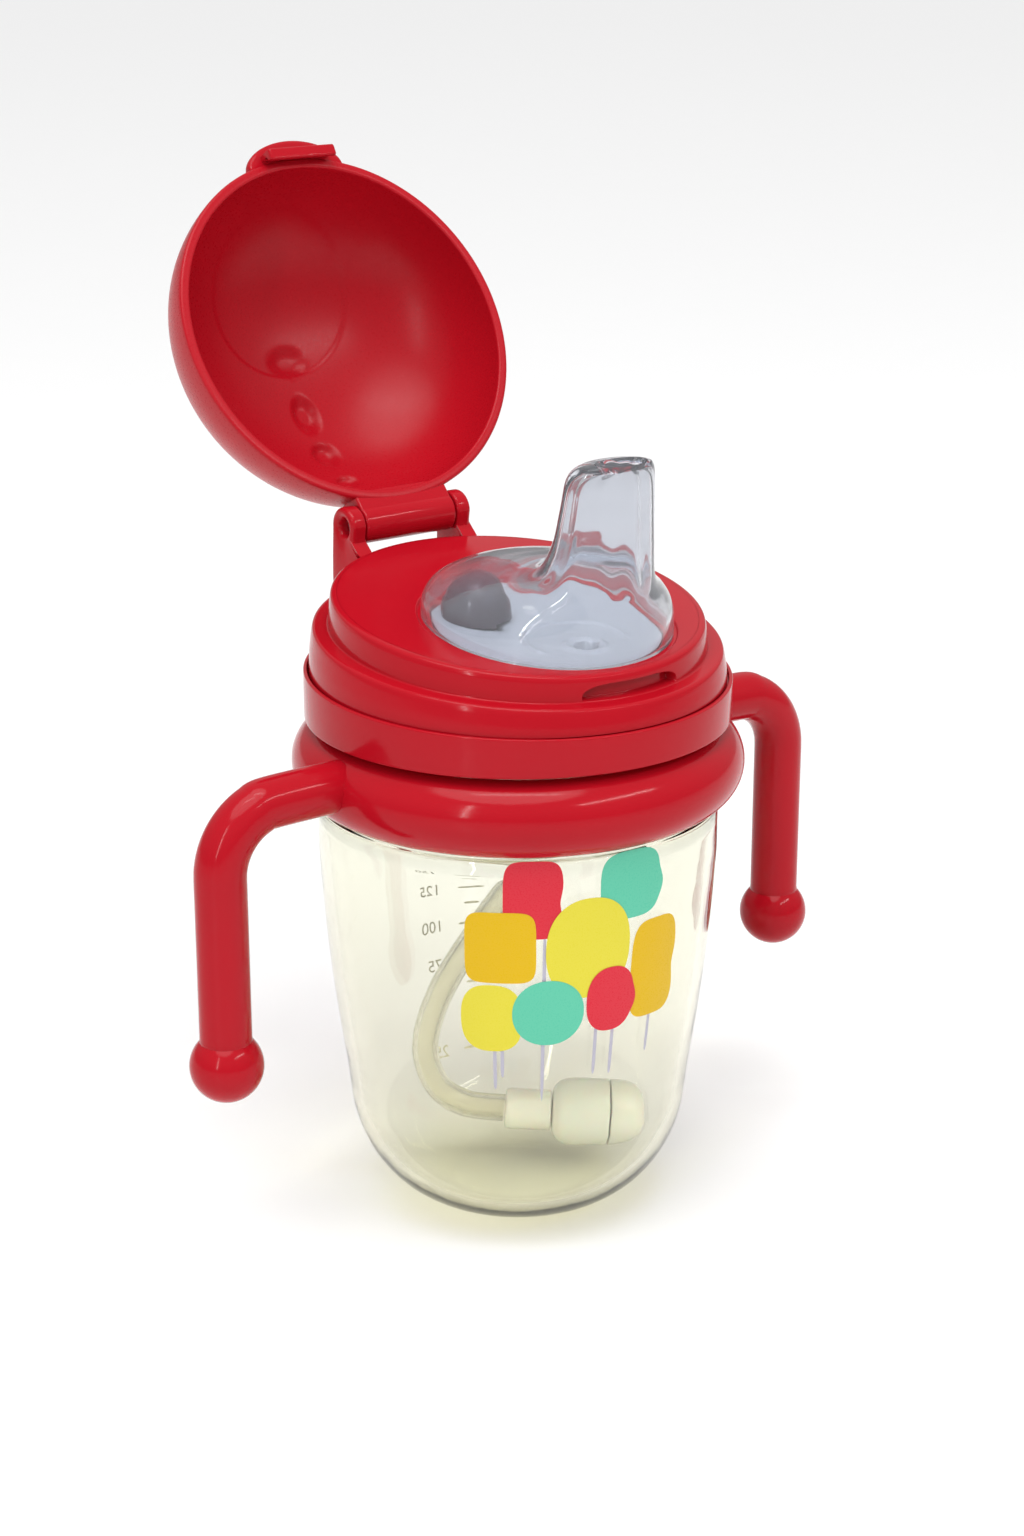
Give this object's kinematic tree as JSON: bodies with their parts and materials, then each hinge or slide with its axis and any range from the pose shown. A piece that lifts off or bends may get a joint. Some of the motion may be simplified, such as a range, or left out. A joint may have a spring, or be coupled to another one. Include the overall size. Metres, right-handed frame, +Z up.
{
  "type": "sippy cup",
  "caption": "Toddler's drinking cup: clear tumbler, side handles, screw collar, flip-open dome lid, soft spout and a weighted straw inside",
  "frame": {"origin": "centre of the flat foot that the cup stands on", "axes": "+Z up along the tumbler's axis; -Y is the front, where the spout and the latch are; +Y is the hinge side; the handles are on X"},
  "size_m": [0.1402, 0.1262, 0.1906],
  "materials": {
    "red_plastic": "glossy moulded red polypropylene",
    "tinted_clear_plastic": "clear, faintly yellow moulded plastic",
    "clear_silicone": "clear silicone rubber, smooth",
    "white_silicone": "white silicone rubber, satin",
    "grey_silicone": "dark grey silicone rubber, satin",
    "pale_plastic": "pale moulded plastic",
    "cream_plastic": "cream moulded plastic",
    "cream_silicone": "cream translucent silicone rubber",
    "steel": "turned stainless steel"
  },
  "bodies": {
    "cup": {"cup_body": "tinted_clear_plastic"},
    "handles": {"handle_ring": "red_plastic", "left_handle": "red_plastic", "right_handle": "red_plastic", "left_handle_ball": "red_plastic", "right_handle_ball": "red_plastic"},
    "lid_unit": {"lid_base": "red_plastic", "hinge_pin": "steel", "spout": "clear_silicone", "spout_insert": "pale_plastic", "vent_valve": "grey_silicone", "lid_gasket": "white_silicone", "straw_adapter": "pale_plastic", "straw_tube": "cream_silicone", "straw_sleeve": "cream_plastic", "weight_housing": "cream_plastic", "steel_weight": "steel", "weight_cap": "cream_plastic", "check_valve": "white_silicone"},
    "collar": {"screw_collar": "red_plastic"},
    "lid": {"flip_lid": "red_plastic"}
  },
  "joints": [
    {"name": "handle_swivel", "type": "hinge", "parent": "cup", "child": "handles", "pos_m": [0, 0, 0.0865], "axis": [0, 0, 1], "range_deg": [-180, 180]},
    {"name": "lid_lift", "type": "slide", "parent": "cup", "child": "lid_unit", "axis": [0, 0, 1], "range_m": [0, 0.006]},
    {"name": "collar_turn", "type": "hinge", "parent": "lid_unit", "child": "collar", "pos_m": [0, 0, 0.0988], "axis": [0, 0, 1], "range_deg": [0, 720]},
    {"name": "lid_hinge", "type": "hinge", "parent": "lid_unit", "child": "lid", "pos_m": [0, 0.0373, 0.1236], "axis": [1, 0, 0], "range_deg": [0, 129], "deforming": ["spout"]}
  ],
  "couplings": [
    {"joint": "collar_turn", "follows": "lid_lift", "rad_per_m": 2094.4}
  ]
}
